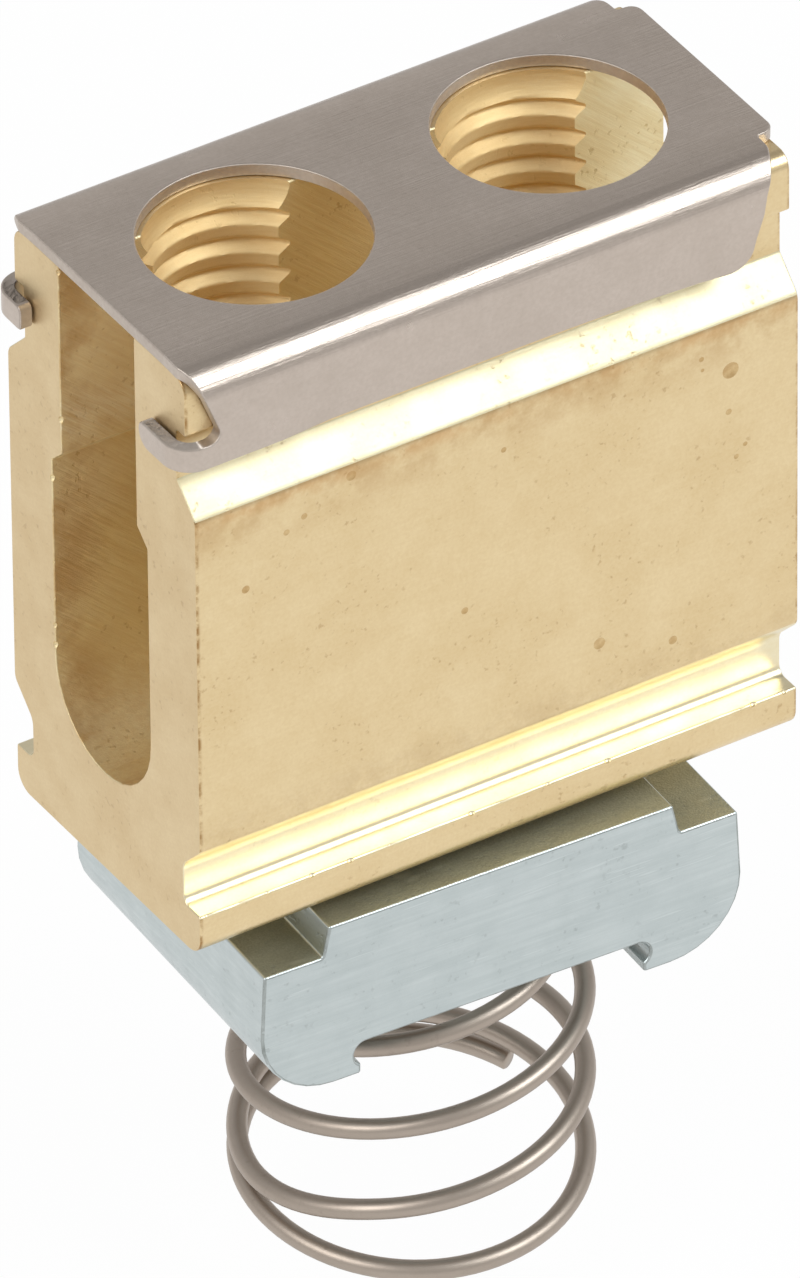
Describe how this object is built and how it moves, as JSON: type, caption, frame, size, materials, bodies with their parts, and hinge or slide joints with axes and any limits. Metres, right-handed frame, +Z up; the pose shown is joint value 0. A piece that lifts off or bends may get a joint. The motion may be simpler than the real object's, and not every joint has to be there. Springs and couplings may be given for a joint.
{
  "type": "shield connection clamp",
  "caption": "Slotted brass cable-shield terminal with tapped legs and a slide-on sheet cover, hung on a sprung slide nut that grips a C-profile rail",
  "frame": {"origin": "where the fixing screw's axis meets the body's underside, the face that sits on the rail", "axes": "X along the cable slot with the cover's hooked end at -X, Y across the slot, Z up"},
  "size_m": [0.0316, 0.0176, 0.0541],
  "materials": {
    "brass": "extruded and sawn, speckled, with bright broken edges",
    "stainless_sheet": "satin rolled sheet with a fine grain",
    "zinc_plated_steel": "bluish zinc plate with fine lengthwise draw marks",
    "spring_wire": "satin drawn wire",
    "screw_steel": "plain zinc plate"
  },
  "bodies": {
    "terminal": {"terminal_body": "brass"},
    "cover": {"cover_clip": "stainless_sheet"},
    "screw": {"fixing_screw": "screw_steel"},
    "nut": {"slide_nut": "zinc_plated_steel"},
    "coil": {"spring": "spring_wire"}
  },
  "joints": [
    {"name": "cover_slide", "type": "slide", "parent": "terminal", "child": "cover", "axis": [-1, 0, 0], "range_m": [0, 0.026]},
    {"name": "screw_turn", "type": "hinge", "parent": "terminal", "child": "screw", "pos_m": [0, 0, 0], "axis": [0, 0, 1], "range_deg": [-330, 1440]},
    {"name": "nut_lift", "type": "slide", "parent": "terminal", "child": "nut", "axis": [0, 0, 1], "range_m": [-0.0028, 0.00064]},
    {"name": "spring_press", "type": "slide", "parent": "nut", "child": "coil", "axis": [0, 0, 1], "range_m": [0, 0.009], "stiffness_N_per_m": 720, "deforming": ["spring"]}
  ],
  "couplings": [
    {"joint": "screw_turn", "follows": "nut_lift", "rad_per_m": -8976}
  ]
}
